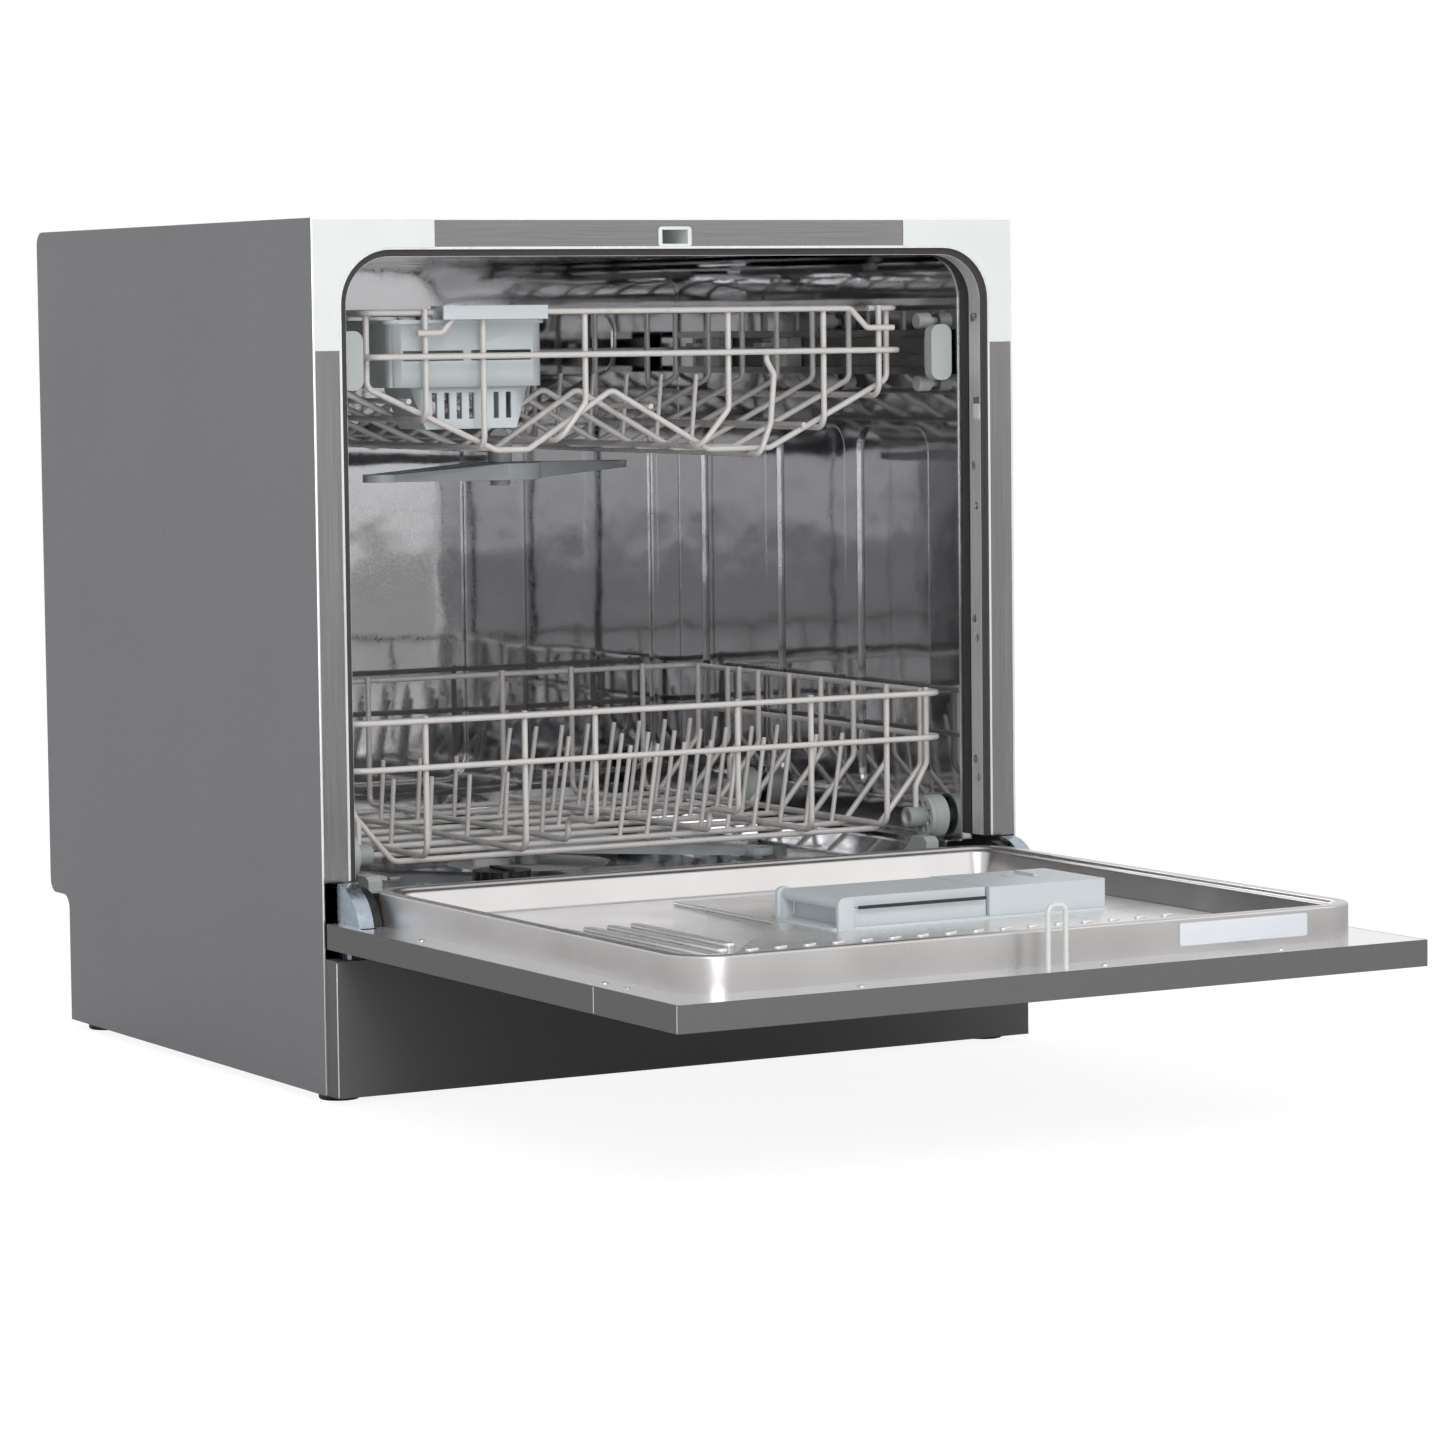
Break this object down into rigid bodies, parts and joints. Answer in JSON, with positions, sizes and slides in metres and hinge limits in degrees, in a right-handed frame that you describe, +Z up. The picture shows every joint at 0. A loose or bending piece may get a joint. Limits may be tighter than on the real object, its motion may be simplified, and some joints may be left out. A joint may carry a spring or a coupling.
{
  "type": "built in dishwasher",
  "caption": "Compact dishwasher with side panels: drop-down door, steel tub, sliding wire baskets, cutlery box, spray arms, detergent dispenser and hinges.",
  "frame": {"origin": "centre of the footprint on the floor, with the door fully open; Y = 0 is the plane of the front frame", "axes": "+Z up, +Y towards the back, +X to the right when facing the front"},
  "size_m": [0.55, 0.966, 0.59],
  "materials": {
    "graphite_paint": "satin grey paint",
    "dark_paint": "satin graphite paint",
    "brushed_frame": "vertical brushed",
    "pale_plastic": "smooth",
    "light_plastic": "smooth",
    "tub_steel": "satin rolled",
    "rubber": "matt",
    "black_plastic": "fine grain",
    "zinc": "bright zinc plate",
    "coated_wire": "nylon coated wire",
    "blue_plastic": "smooth",
    "grey_arm": "smooth",
    "dark_plastic": "moulded",
    "display_glass": "gloss",
    "board": "solder mask",
    "button_plastic": "satin",
    "galvanised": "galvanised"
  },
  "bodies": {
    "cabinet": {"side_panel_left": "graphite_paint", "side_panel_right": "graphite_paint", "top_panel": "graphite_paint", "rear_panel": "galvanised", "base_tray": "dark_plastic", "feet": "black_plastic", "kickplate": "dark_paint", "front_frame": "brushed_frame", "corner_covers": "pale_plastic", "latch_housing": "pale_plastic", "tub_walls": "tub_steel", "tub_rear": "tub_steel", "tub_floor": "tub_steel", "door_gasket": "rubber", "gasket_clips": "light_plastic", "rail_rollers": "light_plastic", "basket_stops": "light_plastic", "sump": "dark_plastic", "filter_plate": "light_plastic", "salt_container": "pale_plastic", "wash_pump": "dark_plastic", "drain_pump": "dark_plastic", "heater": "galvanised", "inlet_valve": "pale_plastic", "water_tank": "pale_plastic", "feed_pipe": "grey_arm", "hinge_brackets": "zinc", "cable_gland": "black_plastic"},
    "door": {"door_panel": "dark_paint", "control_fascia": "dark_paint", "door_liner": "tub_steel", "hinge_arms": "zinc", "hinge_caps": "black_plastic", "door_striker": "zinc", "dispenser_body": "blue_plastic", "display_window": "display_glass", "control_board": "board"},
    "latch_catch": {"latch_catch": "pale_plastic"},
    "dispenser_lid": {"dispenser_lid": "blue_plastic"},
    "rinse_aid_cap": {"rinse_aid_cap": "blue_plastic"},
    "button_power": {"button_power": "button_plastic"},
    "button_program": {"button_program": "button_plastic"},
    "button_delay": {"button_delay": "button_plastic"},
    "button_start": {"button_start": "button_plastic"},
    "upper_rails": {"rail_channels": "brushed_frame", "rail_caps": "light_plastic"},
    "upper_basket": {"upper_basket_frame": "coated_wire", "upper_basket_floor": "coated_wire", "rack_sliders": "light_plastic"},
    "cutlery_basket": {"cutlery_basket": "blue_plastic"},
    "lower_basket": {"lower_basket_frame": "coated_wire", "lower_basket_floor": "coated_wire"},
    "wheel_front_left": {"wheel_front_left": "light_plastic"},
    "wheel_front_right": {"wheel_front_right": "light_plastic"},
    "wheel_rear_left": {"wheel_rear_left": "light_plastic"},
    "wheel_rear_right": {"wheel_rear_right": "light_plastic"},
    "lower_spray_arm": {"lower_spray_arm": "grey_arm"},
    "upper_spray_arm": {"upper_spray_arm": "grey_arm"},
    "coarse_filter": {"coarse_filter": "light_plastic"},
    "salt_cap": {"salt_cap": "black_plastic"}
  },
  "joints": [
    {"name": "door_hinge", "type": "hinge", "parent": "cabinet", "child": "door", "pos_m": [0, -0.008, 0.114], "axis": [-1, 0, 0], "range_deg": [0, 90]},
    {"name": "latch_catch_drop", "type": "slide", "parent": "cabinet", "child": "latch_catch", "axis": [0, 0, -1], "range_m": [0, 0.0057], "stiffness_N_per_m": 100},
    {"name": "lower_basket_slide", "type": "slide", "parent": "cabinet", "child": "lower_basket", "axis": [0, 1, 0], "range_m": [-0.33, 0]},
    {"name": "wheel_front_left_spin", "type": "hinge", "parent": "lower_basket", "child": "wheel_front_left", "pos_m": [-0.233, 0.052, 0.1593], "axis": [1, 0, 0], "range_deg": [-20, 1260]},
    {"name": "wheel_front_right_spin", "type": "hinge", "parent": "lower_basket", "child": "wheel_front_right", "pos_m": [0.233, 0.052, 0.1593], "axis": [1, 0, 0], "range_deg": [-20, 1260]},
    {"name": "wheel_rear_left_spin", "type": "hinge", "parent": "lower_basket", "child": "wheel_rear_left", "pos_m": [-0.233, 0.324, 0.1593], "axis": [1, 0, 0], "range_deg": [-20, 1260]},
    {"name": "wheel_rear_right_spin", "type": "hinge", "parent": "lower_basket", "child": "wheel_rear_right", "pos_m": [0.233, 0.324, 0.1593], "axis": [1, 0, 0], "range_deg": [-20, 1260]},
    {"name": "upper_rails_slide", "type": "slide", "parent": "cabinet", "child": "upper_rails", "axis": [0, 1, 0], "range_m": [-0.185, 0]},
    {"name": "upper_basket_slide", "type": "slide", "parent": "upper_rails", "child": "upper_basket", "axis": [0, 1, 0], "range_m": [-0.165, 0]},
    {"name": "cutlery_basket_lift", "type": "slide", "parent": "upper_basket", "child": "cutlery_basket", "axis": [0, 0, 1], "range_m": [0, 0.012]},
    {"name": "lower_arm_spin", "type": "hinge", "parent": "cabinet", "child": "lower_spray_arm", "pos_m": [0, 0.234, 0.1395], "axis": [0, 0, 1], "continuous": true},
    {"name": "upper_arm_spin", "type": "hinge", "parent": "cabinet", "child": "upper_spray_arm", "pos_m": [-0.018, 0.234, 0.412], "axis": [0, 0, 1], "continuous": true},
    {"name": "coarse_filter_turn", "type": "hinge", "parent": "cabinet", "child": "coarse_filter", "pos_m": [-0.03, 0.234, 0.124], "axis": [0, 0, 1], "range_deg": [0, 45]},
    {"name": "salt_cap_turn", "type": "hinge", "parent": "cabinet", "child": "salt_cap", "pos_m": [-0.06, 0.158, 0.124], "axis": [0, 0, 1], "range_deg": [0, 180]},
    {"name": "dispenser_lid_flip", "type": "hinge", "parent": "door", "child": "dispenser_lid", "pos_m": [-0.027, -0.225, 0.1425], "axis": [0, -1, 0], "range_deg": [0, 110]},
    {"name": "rinse_aid_cap_turn", "type": "hinge", "parent": "door", "child": "rinse_aid_cap", "pos_m": [0.143, -0.217, 0.1465], "axis": [0, 0, 1], "range_deg": [0, 90]},
    {"name": "button_power_push", "type": "slide", "parent": "door", "child": "button_power", "axis": [0, 0, 1], "range_m": [0, 0.0012], "stiffness_N_per_m": 400},
    {"name": "button_program_push", "type": "slide", "parent": "door", "child": "button_program", "axis": [0, 0, 1], "range_m": [0, 0.0012], "stiffness_N_per_m": 400},
    {"name": "button_delay_push", "type": "slide", "parent": "door", "child": "button_delay", "axis": [0, 0, 1], "range_m": [0, 0.0012], "stiffness_N_per_m": 400},
    {"name": "button_start_push", "type": "slide", "parent": "door", "child": "button_start", "axis": [0, 0, 1], "range_m": [0, 0.0012], "stiffness_N_per_m": 400}
  ],
  "couplings": [
    {"joint": "wheel_front_left_spin", "follows": "lower_basket_slide", "rad_per_m": -64.516},
    {"joint": "wheel_front_right_spin", "follows": "lower_basket_slide", "rad_per_m": -64.516},
    {"joint": "wheel_rear_left_spin", "follows": "lower_basket_slide", "rad_per_m": -64.516},
    {"joint": "wheel_rear_right_spin", "follows": "lower_basket_slide", "rad_per_m": -64.516}
  ]
}
